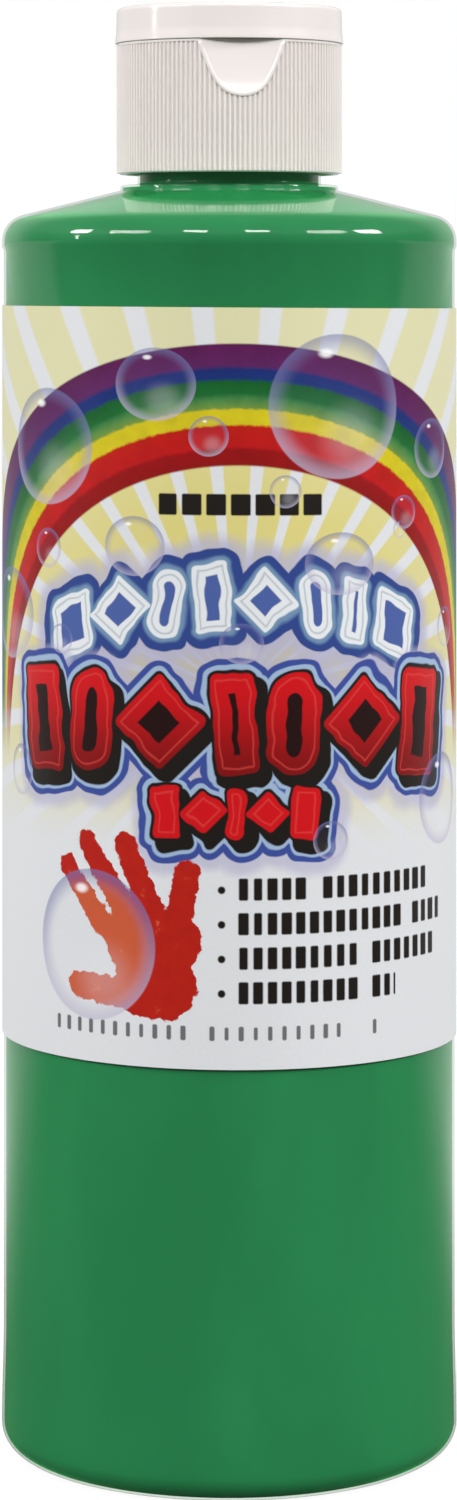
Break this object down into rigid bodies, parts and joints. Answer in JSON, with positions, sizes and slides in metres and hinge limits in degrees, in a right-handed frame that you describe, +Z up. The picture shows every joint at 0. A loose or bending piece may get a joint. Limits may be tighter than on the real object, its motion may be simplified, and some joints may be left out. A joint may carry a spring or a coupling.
{
  "type": "paint bottle",
  "caption": "Round plastic squeeze bottle of liquid paint with a wrap-round label and a ribbed screw cap with a hinged flip-top lid.",
  "frame": {"origin": "centre of the bottle's standing ring, on the plane that it stands on", "axes": "+Z up along the bottle's axis, -Y towards the front of the label, +X to the right as the front is looked at"},
  "size_m": [0.0622, 0.0622, 0.1964],
  "materials": {
    "clear_bottle": "glossy, clear, blow-moulded",
    "green_paint": "smooth wet liquid against the inside of the wall",
    "label_film": "printed semi-gloss film",
    "white_cap": "satin injection-moulded polypropylene",
    "liner_foam": "matt closed-cell foam disc"
  },
  "bodies": {
    "bottle": {"bottle": "clear_bottle", "paint_fill": "green_paint", "label": "label_film"},
    "liner": {"closure_liner": "liner_foam"},
    "cap": {"closure_base": "white_cap", "hinge_film_left": "white_cap", "hinge_film_right": "white_cap", "hinge_spring_strap": "white_cap"},
    "lid": {"closure_lid": "white_cap"}
  },
  "joints": [
    {"name": "cap_lift", "type": "slide", "parent": "bottle", "child": "liner", "axis": [0, 0, 1], "range_m": [0, 0.0212]},
    {"name": "cap_turn", "type": "hinge", "parent": "liner", "child": "cap", "pos_m": [0, 0, 0.182], "axis": [0, 0, 1], "range_deg": [0, 1800]},
    {"name": "lid_flip", "type": "hinge", "parent": "cap", "child": "lid", "pos_m": [-0.00184, 0.01594, 0.19155], "axis": [-0.9934, -0.1149, 0], "range_deg": [0, 165], "deforming": ["hinge_film_left", "hinge_film_right", "hinge_spring_strap"]}
  ],
  "couplings": [
    {"joint": "cap_lift", "follows": "cap_turn", "m_per_rad": 0.00067376}
  ]
}
